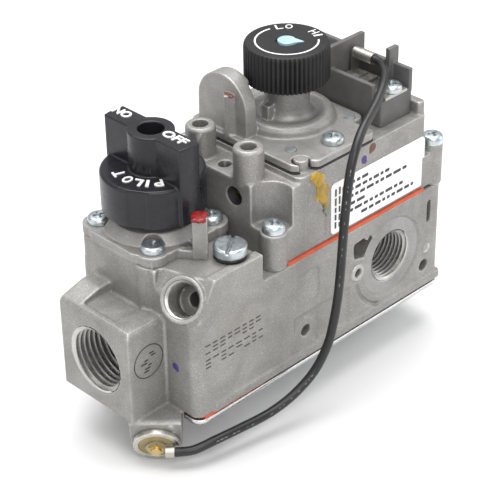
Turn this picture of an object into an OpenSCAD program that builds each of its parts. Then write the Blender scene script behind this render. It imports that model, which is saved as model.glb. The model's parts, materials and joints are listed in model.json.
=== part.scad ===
// Combination gas valve for a heater, with a gas cock, a pressure regulator
// and a magnetic operator. Millimetres, +Z up. X runs from the inlet face to
// the far end, Y from the outlet side to the back. The part's origin is the
// centre of the inlet mouth; the design sizes below are laid out from the
// corner of the lower casting and moved there by at_inlet().

/* [Body] */
// Overall length of the lower casting from the inlet face
body_len = 122; // [121:0.5:124]
// Width of the castings
body_w = 49.5; // [49:0.5:52]
// Height of the lower casting up to the joint with the upper casting
joint_z = 35.5; // [34.5:0.25:36]
// Side of the square inlet boss
boss_w = 30; // [28:0.5:31]
// Height of the machined top under the gas cock cover
tower_z = 44; // [43.5:0.25:44.5]
// Height of the upper casting's raised pad
head_z = 62; // [61.5:0.25:62.5]
// Height of the upper casting's front shelf
shelf_z = 60.4; // [60:0.2:61]

/* [Ports] */
// Major diameter of the inlet pipe thread
inlet_d = 21.34; // [20:0.1:21.4]
// Major diameter of the outlet pipe thread
outlet_d = 17.15; // [16:0.1:17.5]
// Major diameter of the pilot tube thread
pilot_d = 11.11; // [10:0.1:11.2]
// Distance of the outlet's axis from the inlet face
outlet_x = 98; // [96.5:0.5:99]
// Height of the outlet's axis
outlet_z = 18.2; // [17:0.2:19]

/* [Gas cock] */
// Diameter of the gas cock knob's skirt
knob_d = 30.8; // [29:0.2:31]
// Reach of the knob's handle on each side of its axis
handle_r = 16.3; // [15.8:0.1:16.5]
// Height of the knob's skirt
skirt_h = 12.4; // [11:0.2:13]
// Height of the handle above the skirt
handle_h = 12.4; // [10:0.2:13]
// Travel of the knob when it is pushed
push_travel = 3; // [2:0.25:3]

/* [Regulator] */
// Diameter of the pressure dial
dial_d = 25.8; // [24:0.2:26]
// Height of the pressure dial
dial_h = 11.8; // [10:0.2:12]
// Number of ribs round the pressure dial
dial_ribs = 56; // [36:2:64]

/* [Fasteners] */
// Diameter of a pan head
head_d = 6.9; // [6:0.1:7.2]
// Diameter of a screw's shank
shank_d = 3.5; // [3:0.1:3.6]

/* [Jumper wire] */
// Outside diameter of the insulated wire
wire_d = 2.8; // [2.4:0.1:3]

/* [Hidden] */
$fn = 48;
eps = 0.02;
fit = 0.05;

// Places of the main axes
boss_y0 = 13;
inlet_y = boss_y0 + boss_w / 2;
inlet_z = 15.2;
boss_h = 30.4;
wall_x = 14;
tower_x = 13.4;
cock = [30, 33.2];
reg = [79, 27];
coil = [103.5, 27];
head_x = 46.9;
pad_x = 57.5;
head_end = 114;
gasket_t = 0.8;
head_base = joint_z + gasket_t;
plug_c = [34.9, 6.9];
lug_c = [49.6, 4];
post_c = [119, 2.9];
back_y = 45;
sunk_c = [52.8, 44];
lug_top = 47.4;
lug_r = 4;
post_top = 49.6;
sunk_z = 40;
ring_at = [81.8, 19.6];
head_screw_at = [lug_c, post_c, [post_c[0], back_y], sunk_c];

// Gas cock stack
cover_t = 3.2;
cover_z = tower_z + cover_t;
cover_pitch = 11.6;
arm_c = [28.9, 12.9];
collar_z = 50.4;
skirt_z = 53;
handle_z = skirt_z + skirt_h;
knob_z = handle_z + handle_h;
skirt_r = knob_d / 2;
plug_r = 9.5;
plug_z0 = 13;
plug_z1 = 38.6;
stem_r = 4;
stem_z0 = 26;

// Connector for the safety magnet, on an axis that points out and down
port_at = [6.8, 10.7, -9];
port_az = 225;
port_el = -20;
port_r = 7.65;
can_r = 5.9;

// Pilot tube port, on the bevel between the tower and the side panel
pilot_at = [16.4, 7.1, 37.9];
pilot_az = 197;
pilot_el = 30;

// Regulator stack
bonnet_gasket_t = 0.6;
bonnet_z = head_z + bonnet_gasket_t;
bonnet_t = 2.4;
bonnet_top = bonnet_z + bonnet_t;
arch_y = 35.4;
arch_r = 10.2;
arch_z = 72.9;
mark_c = [60.2, 31.4];
neck_r = 6.9;
neck_top = 77.6;
dial_z0 = 78.2;
dial_z1 = dial_z0 + dial_h;
dial_r = dial_d / 2;

// Screws
head_r = head_d / 2;
head_h = 2.2;
shank_r = shank_d / 2;
hole_r = shank_r + fit;

cover_screw_at = [
    for (i = [-1, 1], j = [-1, 1]) [cock[0] + i * cover_pitch, cock[1] + j * cover_pitch]
];
bottom_screw_at = [for (x = [18, 66, 117], y = [4.6, back_y]) [x, y]];
base_hole_at = [[34, 38], [58, 38]];
bonnet_screw_at = [[77, 6.4], [91, 44], [67.8, 44.2]];
dowel_at = [[64.8, 11.6], [91.8, 13]];
terminal_y = [8, 19.6, 32.6];
screw_y = [terminal_y[0], terminal_y[2]];
terminal_x = 104.4;
tube_at = [[51, 15.3], [51, 35.2]];
tube_z = 70.4;
narrow_c = [62.2, 5.2];

// Radius of the crimped barrels on the jumper wire
barrel_r = wire_d / 2 + 0.4;

// Route of the jumper wire between its two ring terminals
wire_route = [
    [8.2, 4.25, -10.3], [9.2, 3.25, -10.28], [12.6, 0.4, -9.8], [19, -1.8, -8.6],
    [27.6, -3.4, -8.2], [38, -5.2, -7.4], [46.6, -7, -4.2], [54.2, -8.2, 1],
    [59, -9, 8.4], [61.6, -9, 15.6], [63.6, -8.8, 24], [65, -8.4, 32],
    [66.8, -7.6, 43], [69.2, -6.6, 55], [71.4, -5.8, 62], [74.3, -4.8, 66.9],
    [79.6, -2.6, 70.6], [85.8, -0.2, 72.6], [91.5, 2, 74.4], [97, 4.8, 76.1],
    [101.6, 8, 77.1], [104, 10.8, 77.5], [105.7, 13.4, 77.7], [106.2, 15.4, 77.8],
    [106.2, 16.5, 77.8]
];

module at_inlet() {
    translate([0, -inlet_y, -inlet_z]) children();
}

// Turns +Z to the direction with azimuth az and elevation el
module along(p, az, el) {
    translate(p) rotate([0, 90 - el, az]) children();
}

// Rounded rectangle from a to b in plan
module rrect(a, b, r) {
    translate([a[0] + r, a[1]]) square([b[0] - a[0] - 2 * r, b[1] - a[1]]);
    translate([a[0], a[1] + r]) square([b[0] - a[0], b[1] - a[1] - 2 * r]);
    for (x = [a[0] + r, b[0] - r], y = [a[1] + r, b[1] - r]) translate([x, y]) circle(r);
}

module block(a, b, r, z0, z1) {
    translate([0, 0, z0]) linear_extrude(z1 - z0) rrect(a, b, r);
}

module rod(c, r, z0, z1) {
    translate([c[0], c[1], z0]) cylinder(r = r, h = z1 - z0);
}

module ring(c, r_out, r_in, z0, z1) {
    difference() {
        rod(c, r_out, z0, z1);
        rod(c, r_in, z0 - 1, z1 + 1);
    }
}

// Cylinder along Y from the outlet side
module side_bore(x, z, r, depth) {
    translate([x, -1, z]) rotate([-90, 0, 0]) cylinder(r = r, h = depth + 1);
}

// Shape drawn in X and Z, cut into the outlet side to a depth
module side_pocket(depth) {
    translate([0, depth, 0]) rotate([90, 0, 0]) linear_extrude(depth + 2) children();
}

// Pan-head screw with a cross recess; z = 0 is under the head
module pan_screw(len, r = head_r, h = head_h) {
    dome = 1.6 * r;
    difference() {
        union() {
            translate([0, 0, -len]) cylinder(r = shank_r, h = len);
            intersection() {
                cylinder(r = r, h = h);
                translate([0, 0, h - dome]) sphere(dome);
            }
        }
        for (a = [0, 90]) rotate(a) translate([-r * 0.5, -0.35, h - 1.1]) cube([r, 0.7, 2]);
    }
}

// Tube of radius r swept along a list of points
function unit(v) = v / norm(v);
function tangent(p, i) =
    unit(p[min(i + 1, len(p) - 1)] - p[max(i - 1, 0)]);
function side_of(t) = unit(cross(t, abs(t[2]) > 0.9 ? [1, 0, 0] : [0, 0, 1]));
function next_side(s, t) = unit(s - (s * t) * t);
function frames(p, i = 0, s = undef) =
    i == len(p) ? [] :
    let (t = tangent(p, i), n = s == undef ? side_of(t) : next_side(s, t))
    concat([[p[i], n, cross(t, n)]], frames(p, i + 1, n));

module sweep(path, r, sides = 8) {
    rings = frames(path);
    pts = [
        for (f = rings, k = [0 : sides - 1])
            f[0] + r * (cos(360 * k / sides) * f[1] + sin(360 * k / sides) * f[2])
    ];
    last = (len(rings) - 1) * sides;
    walls = [
        for (i = [0 : len(rings) - 2], k = [0 : sides - 1])
            let (a = i * sides + k, b = i * sides + (k + 1) % sides)
            [a, b, b + sides, a + sides]
    ];
    caps = [[for (k = [sides - 1 : -1 : 0]) k], [for (k = [0 : sides - 1]) last + k]];
    polyhedron(points = pts, faces = [for (f = concat(walls, caps)) [for (k = [len(f) - 1 : -1 : 0]) f[k]]]);
}

// Coil spring standing on z = 0
module coil_spring(r, wire_r, height, turns, steps = 14) {
    rise = height - 2 * wire_r;
    path = [
        for (i = [0 : turns * steps])
            let (a = 360 * i / steps)
            [r * cos(a), r * sin(a), wire_r + rise * i / (turns * steps)]
    ];
    sweep(path, wire_r, 6);
}

// Smooth curve through the route's points
function spline(p, i, t) =
    let (
        a = p[max(i - 1, 0)], b = p[i],
        c = p[min(i + 1, len(p) - 1)], d = p[min(i + 2, len(p) - 1)]
    )
    0.5 * ((2 * b) + (c - a) * t + (2 * a - 5 * b + 4 * c - d) * t * t
        + (3 * b - a - 3 * c + d) * t * t * t);
function smooth(p, n) = concat(
    [for (i = [0 : len(p) - 2], k = [0 : n - 1]) spline(p, i, k / n)],
    [p[len(p) - 1]]
);

// The angled housing of the safety magnet
module magnet_housing() {
    difference() {
        along(port_at, port_az, port_el) {
            translate([0, 0, -27]) cylinder(r = port_r, h = 27);
            translate([-9, -port_r, -27]) cube([9, 2 * port_r, 27]);
        }
        // Nothing above the underside in front of the inlet boss
        translate([0, -20, 0]) cube([wall_x, boss_y0 + 20, 60]);
    }
}

module inlet_boss() {
    top = boss_h;
    difference() {
        translate([0, boss_y0, 0]) cube([wall_x + 6, boss_w, top]);
        // Chamfered front edge of the top
        translate([0, 0, top]) rotate([0, 45, 0]) cube([1.6, 120, 1.6], center = true);
        translate([0, boss_y0, top]) rotate([45, 0, 0]) cube([60, 1.6, 1.6], center = true);
        // Shallow pocket in the top
        translate([3, inlet_y - 6.6, top - 0.9]) cube([wall_x + 4, 13.8, 2]);
    }
    // Gusset that rises to the tower
    translate([0, boss_y0 + boss_w, 0]) rotate([90, 0, 0]) linear_extrude(8)
        polygon([[1.4, 20], [1.4, top], [9, top + 2.2], [wall_x + 4, top + 2.6], [wall_x + 4, 20]]);
}

// Space in front of the bevel that carries the pilot port
module pilot_bevel() {
    along(pilot_at, pilot_az, pilot_el) translate([-30, -9.4, 0]) cube([60, 30, 30]);
}

module tower() {
    block([tower_x, cock[1] - 15.7], [head_x - 0.8, cock[1] + 15.7], 4.2, 0, tower_z);
    // Shelf and side panel, with the bevel for the pilot port
    difference() {
        block([wall_x, 0], [41.4, 30], 3.2, 0, tower_z);
        pilot_bevel();
    }
    // Column under the front screw of the cover
    rod(cover_screw_at[0], 5.4, 20, tower_z);
    along(pilot_at, pilot_az, pilot_el) translate([0, 0, -9]) cylinder(r = 6.9, h = 10.4);
    // Raised edge of the side panel
    difference() {
        side_pocket(3.4) polygon([[15.3, 33], [22, 44.6], [41.4, 44.6], [41.4, 30], [20, 30]]);
        translate([0, -5, 0]) cube([60, 5, 60]);
    }
}

module side_details() {
    // Milled face round the outlet
    side_bore(outlet_x, outlet_z, 13.4, 0.7);
    // Cored pocket beside the outlet
    side_pocket(6) polygon([[80.2, 30], [85, 30.4], [86.6, 28.8], [88, 30.6], [89.4, 28], [86, 23.4], [80.8, 24.6]]);
    side_bore(ring_at[0], ring_at[1], 1.5, 7);
    side_bore(114.1, 7.3, 2, 8);
    side_pocket(3) rrect([114.7, 22.8], [116.5, 30.8], 0.8);
    // Recess for the casting mark, left blank
    side_pocket(0.5) rrect([54.4, 18.6], [65.2, 30.4], 1.6);
    // Recessed field round the arched boss
    side_pocket(0.7) difference() {
        rrect([54.2, 3.2], [79, 15.6], 1);
        translate([59.3, 9.3]) circle(4.6);
        translate([54, 3]) square([9.9, 6.3]);
    }
    side_bore(59.3, 9.3, 1.9, 9);
    // Arc groove outside the milled face
    side_pocket(0.9) intersection() {
        difference() {
            translate([outlet_x, outlet_z]) circle(16.8);
            translate([outlet_x, outlet_z]) circle(15.5);
        }
        translate([76, 3]) square([18, 12]);
    }
}

// Raised details on the outlet side
module side_bosses() {
    translate([ring_at[0], 1, ring_at[1]]) rotate([90, 0, 0]) cylinder(r1 = 2.8, r2 = 2.5, h = 1.5);
    translate([114.8, 1, 13.6]) rotate([90, 0, 0]) cylinder(r1 = 1.6, r2 = 1, h = 1.6);
}

module lower_body() {
    color("#b9b7b2") difference() {
        union() {
            difference() {
                block([wall_x, 0], [body_len, body_w], 3.4, 0, joint_z);
                pilot_bevel();
            }
            side_bosses();
            block([wall_x + 6, -0.6], [body_len, body_w], 1.2, 0, 2.6);
            inlet_boss();
            tower();
            magnet_housing();
        }
        side_details();
        // Inlet thread and the passage to the gas cock
        translate([-1, inlet_y, inlet_z]) rotate([0, 90, 0]) cylinder(r = inlet_d / 2, h = 15);
        translate([10, inlet_y, inlet_z]) rotate([0, 90, 0]) cylinder(r = 7, h = 14);
        // Bore of the gas cock's plug
        rod(cock, plug_r + fit, plug_z0 - 1, tower_z + 1);
        // Cross passage from the gas cock to the main chamber
        translate([cock[0], cock[1], 23]) rotate([0, 90, 0]) cylinder(r = 4.4, h = 34);
        // Pilot port and its passage
        along(pilot_at, pilot_az, pilot_el) {
            translate([0, 0, -8.4]) cylinder(r = pilot_d / 2, h = 12);
            translate([0, 0, 0.9]) cylinder(r1 = 5.5, r2 = 6.2, h = 0.8);
            translate([0, 0, -15]) cylinder(r = 2.2, h = 10);
        }
        // Seat of the slotted plug
        rod(plug_c, 4, 32, tower_z + 1);
        rod(plug_c, 5.4, tower_z, tower_z + 2);
        // Chamber above and below the main valve seat
        rod(reg, 17, 25, joint_z + 1);
        rod(reg, 7, 12, 26);
        translate([68, 15, -1]) cube([45, 28, 13]);
        translate([outlet_x, 21, outlet_z]) rotate([0, -90, 0]) cylinder(r = 5.6, h = 20);
        side_bore(outlet_x, outlet_z, outlet_d / 2, 14);
        side_bore(outlet_x, outlet_z, 6.4, 26);
        // Bore of the safety magnet and the pin hole above it
        along(port_at, port_az, port_el) {
            translate([0, 0, -24]) cylinder(r = can_r + 0.3, h = 30);
        }
        rod([23, 27], 2, 0, 14);
        // Screw holes
        for (p = bottom_screw_at) rod(p, hole_r, -1, 8);
        for (p = cover_screw_at) rod(p, hole_r, tower_z - 9, tower_z + 1);
        for (p = head_screw_at) rod(p, hole_r, joint_z - 9, joint_z + 1);
        // Mounting holes in the underside
        for (p = base_hole_at) rod(p, 2.5, -1, 9);
    }
}

module upper_casting() {
    color("#bdbab4") difference() {
        union() {
            block([pad_x - 6.5, 1], [head_end, body_w - 1], 2.4, head_base, shelf_z);
            block([head_x, 8], [70, body_w - 1], 2.2, head_base, shelf_z);
            block([pad_x, 1], [head_end, body_w - 1], 2.4, head_base, head_z);
            // Corner and lug that stand on the lower casting
            block([head_x, 2.6], [60, 14], 2.4, head_base, shelf_z);
            rod(lug_c, lug_r, joint_z, lug_top);
            for (y = [post_c[1], back_y]) {
                rod([post_c[0], y], 3.4, joint_z, post_top);
                translate([head_end - 2, y - 2.2, head_base]) cube([post_c[0] - head_end + 2, 4.4, 11]);
            }
            // Raised rim at the far end
            block([110.9, 2], [head_end, body_w - 2], 1, head_z - 1, 66.2);
            // Hollow posts and the narrow post
            for (p = tube_at) {
                rod(p, 4.6, shelf_z - 1.5, tube_z - 0.7);
                translate([p[0], p[1], tube_z - 0.7]) cylinder(r1 = 4.6, r2 = 4, h = 0.7);
            }
            rod(narrow_c, 2.2, head_base, 65.6);
        }
        // Recess over the front lug, which clears its screw
        rod([48.5, 4], 6.6, lug_top, shelf_z + 1);
        // Groove and shallow panel beside the recess
        translate([58.2, -0.2, 37.5]) cube([0.8, 1.8, 12.5]);
        side_pocket(1.4) rrect([60, 38], [69, 48], 0.6);
        for (p = tube_at) rod(p, 2.4, 61.5, tube_z + 1);
        rod([51.4, 25.6], 2, 52, shelf_z + 1);
        translate([head_x - 1, 17.4, 54.6]) rotate([0, 90, 0]) cylinder(r = 2.9, h = 9);
        // Chambers of the regulator, the diaphragm and the operator
        rod(reg, 13.2, 60.6, head_z + 1);
        rod(reg, 12, 46, 61);
        rod(reg, 16.5, head_base - 1, 42);
        rod([reg[0] + 9, reg[1]], 1.4, 40, 48);
        rod(coil, 6.9, 40, head_z + 1);
        // Screw holes
        for (p = bonnet_screw_at) rod(p, hole_r, head_z - 8, head_z + 1);
        for (p = dowel_at) rod(p, 1.5 + fit, head_z - 4, head_z + 1);
        for (p = head_screw_at) rod(p, hole_r, head_base - 1, post_top + 1);
        rod(sunk_c, head_r + 0.4, sunk_z, shelf_z + 1);
    }
}

module body_gasket() {
    color("#e0593f") translate([0, 0, joint_z]) linear_extrude(gasket_t) difference() {
        union() {
            rrect([pad_x - 6, 0.3], [head_end, body_w - 0.3], 2);
            rrect([head_x + 0.4, 9.2], [70, body_w - 0.3], 2);
        }
        translate(reg) circle(18.4);
        translate(lug_c) circle(lug_r + fit);
        translate(sunk_c) circle(hole_r);
    }
}

module main_diaphragm() {
    color("#2b2b2b") {
        rod(reg, 18.2, joint_z, joint_z + gasket_t);
        ring(reg, 14.6, 12.4, joint_z + 0.4, joint_z + 1.8);
    }
}

module cover_outline(inset) {
    difference() {
        rrect([wall_x + inset, inset - 0.4], [body_len - inset, body_w - inset], 3.4);
        projection_gap();
    }
}

// Footprint of the magnet housing where it meets the bottom cover
module projection_gap() {
    translate([port_at[0], port_at[1]]) rotate(45) translate([-6, -port_r - 0.6]) square([35.5, 2 * port_r + 1.2]);
}

module bottom_gasket() {
    color("#c8402f") translate([0, 0, -0.8]) linear_extrude(0.8) difference() {
        union() {
            cover_outline(1.5);
            translate([17, 0.2]) square([24, 6]);
        }
        projection_gap();
        translate([69, 16]) square([43, 26]);
        for (p = bottom_screw_at) translate(p) circle(hole_r);
        for (p = base_hole_at) translate(p) circle(3);
    }
}

module bottom_cover() {
    color("#c9c8c4") translate([0, 0, -2.2]) linear_extrude(1.4) difference() {
        cover_outline(0);
        for (p = bottom_screw_at) translate(p) circle(hole_r);
        for (p = base_hole_at) translate(p) circle(3);
    }
}

module bottom_cover_screws() {
    color("#c4ccd0") for (p = bottom_screw_at) {
        translate([p[0], p[1], -2.2]) mirror([0, 0, 1]) pan_screw(9.4, 3, 1.8);
    }
}

module gas_cock_cover() {
    color("#b3b0aa") difference() {
        union() {
            translate([0, 0, tower_z]) linear_extrude(cover_t) {
                rrect([cock[0] - 17.2, cock[1] - 13], [cock[0] + 15.4, cock[1] + 13], 5);
                rrect([cock[0] - 13.4, cock[1] - 16.4], [cock[0] + 13, cock[1] + 16.4], 5);
                for (p = cover_screw_at) translate(p) circle(4.9);
            }
            // Conical collar under the knob
            translate([cock[0], cock[1], cover_z - eps]) cylinder(r1 = 15.4, r2 = 12.6, h = collar_z - cover_z);
            // Arm and post of the pointer
            translate([0, 0, tower_z]) linear_extrude(2.8)
                polygon([[21, 20.6], [28.8, 10], [31.8, 12.8], [31.4, 22], [24, 24]]);
            translate([arm_c[0], arm_c[1], tower_z]) rotate(45) translate([-1.9, -2.2, 0]) cube([3.8, 4.4, 13.8]);
        }
        // Shallow pocket in the arm
        translate([0, 0, cover_z - 2]) linear_extrude(2.6) polygon([[24.4, 18.6], [28.2, 15.2], [29.4, 17.6]]);
        rod(cock, stem_r + 1, tower_z - 1, 60);
        rod(cock, 7, tower_z - 1, cover_z - 0.8);
        for (p = cover_screw_at) {
            rod(p, hole_r, tower_z - 1, cover_z + 1);
            // Flat seat that is cut into the collar beside each screw
            rod(p, head_r + 0.5, cover_z, 60);
        }
    }
}

module cock_cover_screws() {
    color("#c4ccd0") for (p = cover_screw_at) translate([p[0], p[1], cover_z]) pan_screw(11);
}

module cock_plug() {
    color("#c2a14d") difference() {
        rod(cock, plug_r, plug_z0, plug_z1);
        // Bore that the stem slides in
        rod(cock, stem_r + fit, stem_z0 - push_travel - 1, plug_z1 + 1);
        // Gas way: an open channel up to a cross port
        translate([cock[0] - 12, cock[1], 17]) rotate([0, 90, 0]) cylinder(r = 3, h = 24);
        rod(cock, 2, plug_z0 - 1, 18);
    }
}

module cock_stem() {
    color("#c2a14d") difference() {
        union() {
            rod(cock, stem_r, stem_z0, skirt_z + 8);
            rod(cock, 6, cover_z - 5, cover_z - 4);
        }
        rod(cock, 1.2 + fit, skirt_z, skirt_z + 9);
    }
}

module cock_spring() {
    color("#9aa0a4") translate([cock[0], cock[1], collar_z]) coil_spring(7, 0.5, handle_z - 2 - collar_z, 6);
}

module gas_cock_knob() {
    color("#1b1b1d") difference() {
        union() {
            rod(cock, skirt_r, skirt_z, handle_z - 0.6);
            translate([cock[0], cock[1], handle_z - 0.6]) cylinder(r1 = skirt_r, r2 = skirt_r - 0.6, h = 0.6);
            rod(cock, 6.9, handle_z - 1, knob_z);
            intersection() {
                translate([cock[0] - 3.7, cock[1] - handle_r, skirt_z]) cube([7.4, 2 * handle_r, knob_z - skirt_z]);
                rod(cock, handle_r, skirt_z, knob_z);
            }
        }
        // Hollow underside
        ring(cock, 13.8, 5.6, skirt_z - 1, handle_z - 2);
        rod(cock, 8.2, skirt_z - 1, skirt_z + 7);
        rod(cock, stem_r, skirt_z - 1, skirt_z + 8);
        // Recess for the knob's screw
        rod(cock, 3.9, skirt_z + 9.6, knob_z + 1);
        rod(cock, 1.2 + fit, skirt_z + 7, skirt_z + 10);
        // Flat facet in the skirt
        rotate_about(cock, 210) translate([skirt_r - 0.5, -3, skirt_z - 1]) cube([3, 6, skirt_h + 3]);
    }
}

module rotate_about(c, a) {
    translate([c[0], c[1], 0]) rotate(a) children();
}

module knob_screw() {
    color("#3c3d40") translate([cock[0], cock[1], skirt_z + 9.6]) difference() {
        union() {
            translate([0, 0, -8]) cylinder(r = 1.2, h = 8);
            cylinder(r = 3.4, h = 2);
        }
        for (a = [0, 90]) rotate(a) translate([-1.9, -0.4, 1]) cube([3.8, 0.8, 2]);
    }
}

module inlet_screen() {
    color("#8f9498") translate([14.1, inlet_y, inlet_z]) rotate([0, 90, 0]) difference() {
        cylinder(r = 7, h = 0.9);
        for (x = [-5 : 2.5 : 5], y = [-5 : 2.5 : 5])
            if (norm([x, y]) < 5.7) translate([x, y, -1]) cylinder(r = 0.9, h = 3, $fn = 6);
    }
}

module magnet_unit() {
    color("#a9a7a0") along(port_at, port_az, port_el) {
        translate([0, 0, -14]) cylinder(r = can_r, h = 14);
    }
}

module magnet_nut() {
    color("#b9b2a0") along(port_at, port_az, port_el) difference() {
        cylinder(r = 6.9, h = 1.9);
        translate([0, 0, 0.7]) cylinder(r = 5.2, h = 3);
        translate([0, 0, -1]) cylinder(r = 2.2, h = 4);
    }
}

module fibre_washer() {
    color("#8a8458") along(port_at, port_az, port_el) translate([0, 0, 0.7]) difference() {
        cylinder(r = 5.1, h = 1);
        translate([0, 0, -1]) cylinder(r = 1.65, h = 3);
    }
}

module contact_stud() {
    color("#c2a14d") along(port_at, port_az, port_el) {
        cylinder(r = 1.6, h = 4);
        translate([0, 0, 2.5]) cylinder(r = 2.6, h = 0.9, $fn = 6);
    }
}

module lower_ring_terminal() {
    color("#c9cccc") along(port_at, port_az, port_el) translate([0, 0, 1.7]) difference() {
        union() {
            cylinder(r = 3.1, h = 0.8);
            translate([-1.2, 2, 0]) cube([2.4, 3, 0.8]);
            translate([0, 2.8, barrel_r + 0.3]) rotate([-90, 0, 0]) cylinder(r = barrel_r, h = 2.6);
        }
        translate([0, 0, -1]) cylinder(r = 1.65, h = 3);
    }
}

module safety_valve_disc() {
    color("#2f2f31") along(port_at, port_az, port_el) {
        translate([0, 0, -22]) cylinder(r = 5.2, h = 1.6);
        translate([0, 0, -20.5]) cylinder(r = 1.2, h = 3);
    }
}

module safety_valve_spring() {
    color("#9aa0a4") along(port_at, port_az, port_el) translate([0, 0, -20.4]) coil_spring(2.6, 0.3, 2.4, 3, 12);
}

module jumper_wire() {
    color("#161617") sweep(smooth(wire_route, 3), wire_d / 2, 8);
}

module upper_ring_terminal() {
    color("#c9cccc") {
        translate([terminal_x - 2, 19.6, 71.3]) cube([4.6, 5, 0.8]);
        translate([terminal_x - 0.2, 23.4, 71.3]) cube([2.8, 0.8, 5.6]);
        translate([terminal_x + 1.8, 24.2, 77.8]) rotate([90, 0, 0]) cylinder(r = barrel_r, h = 7.6);
    }
}

module slotted_plug() {
    color("#c6ced2") difference() {
        union() {
            rod(plug_c, 3.9, tower_z - 8, tower_z);
            rod(plug_c, 5, tower_z + 1.5, tower_z + 4);
            translate([plug_c[0], plug_c[1], tower_z + 4]) cylinder(r1 = 5, r2 = 4.6, h = 0.4);
            rod(plug_c, 3.4, tower_z, tower_z + 1.6);
        }
        rotate_about(plug_c, 35) translate([-6, -0.5, tower_z + 3.4]) cube([12, 1, 3]);
    }
}

module plug_o_ring() {
    color("#141414") translate([plug_c[0], plug_c[1], tower_z + 0.74]) rotate_extrude() translate([4.12, 0]) circle(r = 0.7);
}

module pilot_needle() {
    color("#b08d3c") translate([head_x + 2.2, 17.4, 54.6]) rotate([0, 90, 0]) difference() {
        union() {
            cylinder(r = 2.9 - fit, h = 4);
            translate([0, 0, 4]) cylinder(r1 = 1.6, r2 = 0.3, h = 1.6);
        }
        translate([-3, -0.4, -1]) cube([6, 0.8, 2]);
    }
}

module bonnet_outline() {
    difference() {
        union() {
            rrect([58, 3.2], [80, body_w - 1.6], 3);
            rrect([64.4, 1.2], [90.4, 22], 2.4);
            rrect([70, 10], [95.4, body_w - 1.6], 3);
        }
        translate(narrow_c) circle(2.8);
    }
}

module regulator_bonnet() {
    color("#bab8b3") difference() {
        union() {
            translate([0, 0, bonnet_z]) linear_extrude(bonnet_t) bonnet_outline();
            // Dished dome
            translate([reg[0], reg[1], bonnet_top - eps]) rotate_extrude() polygon([
                [0, -1], [14.9, -1], [14.8, 0.6], [14.5, 1.8], [13.7, 2.8], [12.5, 3.3], [11.2, 3.2],
                [10, 2.5], [9, 1.9], [8, 2.4], [7.3, 3.4], [6.9, 4.8], [0, 4.8]
            ]);
            rod(reg, neck_r, bonnet_z + 1, neck_top);
            // Small ear on the neck
            translate([reg[0] - 9.4, reg[1] - 1.4, bonnet_top + 1]) cube([4, 2.8, 6]);
            // Arched wall, cleared round the dial, with the dial's pointer post
            difference() {
                translate([60, 0, 0]) rotate([90, 0, 90]) linear_extrude(5.4) {
                    translate([arch_y, arch_z]) circle(arch_r);
                    translate([arch_y - arch_r, bonnet_z + 0.4]) square([2 * arch_r, 10]);
                }
                rod(reg, dial_r + 0.7, dial_z0 - 0.6, dial_z1);
                rod(bonnet_screw_at[2], head_r + 0.5, bonnet_top, dial_z1);
                translate([64.4, 20, bonnet_top]) cube([10, 9, 30]);
            }
            translate([mark_c[0], mark_c[1], bonnet_top - 1]) rotate(45) translate([-1.6, -2.2, 0]) cube([4, 4.4, 14]);
            // Ring that clamps the diaphragm's rim
            ring(reg, 13, 12, 61.2, bonnet_z + 1);
        }
        rod(reg, 5, bonnet_z - 1, neck_top + 1);
        for (p = bonnet_screw_at) rod(p, hole_r, bonnet_z - 1, bonnet_top + 1);
        for (p = dowel_at) rod(p, 1.5 + fit, bonnet_z - 1, bonnet_top + 1);
    }
}

module bonnet_gasket() {
    color("#3a3a38") translate([0, 0, head_z]) linear_extrude(bonnet_gasket_t) difference() {
        bonnet_outline();
        translate(reg) circle(13.1);
        for (p = bonnet_screw_at) translate(p) circle(hole_r);
        for (p = dowel_at) translate(p) circle(1.5 + fit);
    }
}

module bonnet_screws() {
    color("#c4ccd0") for (p = bonnet_screw_at) translate([p[0], p[1], bonnet_top]) pan_screw(10);
}

module bonnet_dowels() {
    color("#c4ccd0") for (p = dowel_at) rod(p, 1.5, head_z - 3.6, bonnet_top + 0.5);
}

module pressure_dial() {
    rib = 0.45;
    pts = [
        for (i = [0 : dial_ribs - 1], k = [0 : 3])
            let (a = 360 * (i + [0, 0.3, 0.5, 0.8][k]) / dial_ribs, r = dial_r - (k < 2 ? 0 : rib))
            [r * cos(a), r * sin(a)]
    ];
    color("#222223") difference() {
        union() {
            translate([reg[0], reg[1], dial_z0]) linear_extrude(dial_h - 0.8) polygon(pts);
            translate([reg[0], reg[1], dial_z1 - 0.8]) cylinder(r1 = dial_r - rib, r2 = dial_r - 1, h = 0.8);
        }
        ring(reg, 11.2, 4.6, dial_z0 - 1, dial_z1 - 3);
        rod(reg, 3, dial_z0 - 1, dial_z1 - 3);
        rod(reg, 2.9, dial_z1 - 0.9, dial_z1 + 1);
    }
}

module dial_pointer() {
    color("#c9d6de") translate([reg[0], reg[1], dial_z1 - 0.9]) cylinder(r = 2.9, h = 1.3);
}

module regulator_screw() {
    color("#c2a14d") rod(reg, 3, 74.8, dial_z1 - 3);
}

module spring_seat() {
    color("#b9bdc0") {
        rod(reg, 4.9, 72.6, 74);
        rod(reg, 2, 70, 72.7);
    }
}

module regulator_spring() {
    color("#9aa0a4") translate([reg[0], reg[1], 61.9]) coil_spring(3.6, 0.45, 10.7, 7);
}

module regulator_diaphragm() {
    color("#2b2b2b") rod(reg, 13, 60.6, 61.2);
}

module diaphragm_plate() {
    color("#b9bdc0") rod(reg, 7.6, 61.2, 61.9);
}

module main_valve() {
    color("#3a3a3c") {
        rod(reg, 9.4, 25, 27.4);
        rod(reg, 2, 27.3, 32);
    }
}

module main_valve_spring() {
    color("#9aa0a4") translate([reg[0], reg[1], 27.4]) coil_spring(5.4, 0.5, joint_z - 27.4, 4);
}

module solenoid_coil() {
    color("#7a3b22") ring(coil, 6.7, 3.4, 40, 60);
}

module solenoid_plunger() {
    color("#a9adb0") rod(coil, 3.3, 43, 55);
}

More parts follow.
